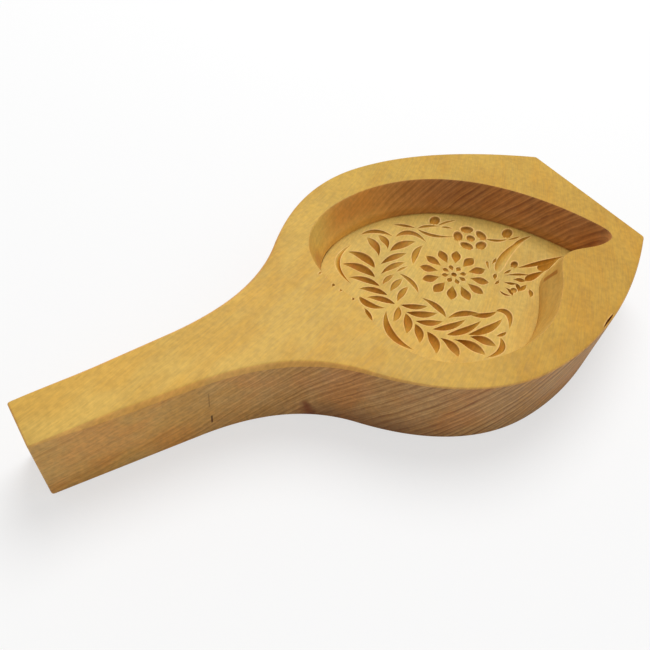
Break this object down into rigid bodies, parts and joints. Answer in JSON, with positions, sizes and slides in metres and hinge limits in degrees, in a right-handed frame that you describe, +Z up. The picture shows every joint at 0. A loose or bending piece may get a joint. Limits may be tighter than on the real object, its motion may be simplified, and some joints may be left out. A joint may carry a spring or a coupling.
{
  "type": "wooden cake mould",
  "caption": "Paddle-shaped wooden board with a handle and a peach-shaped hollow whose floor is gouged with leaves, blossom and a butterfly, for pressing cakes.",
  "frame": {"origin": "middle of the flat underside, at the centre of the bounding box", "axes": "+X from the handle end to the sawn end, +Y across the board, +Z up out of the hollow"},
  "size_m": [0.2774, 0.1372, 0.036],
  "materials": {
    "wood": "bare sanded wood, golden on the flat faces and browner on the sawn sides and in the cuts"
  },
  "bodies": {
    "root": {"carved_mould": "wood"}
  },
  "joints": []
}
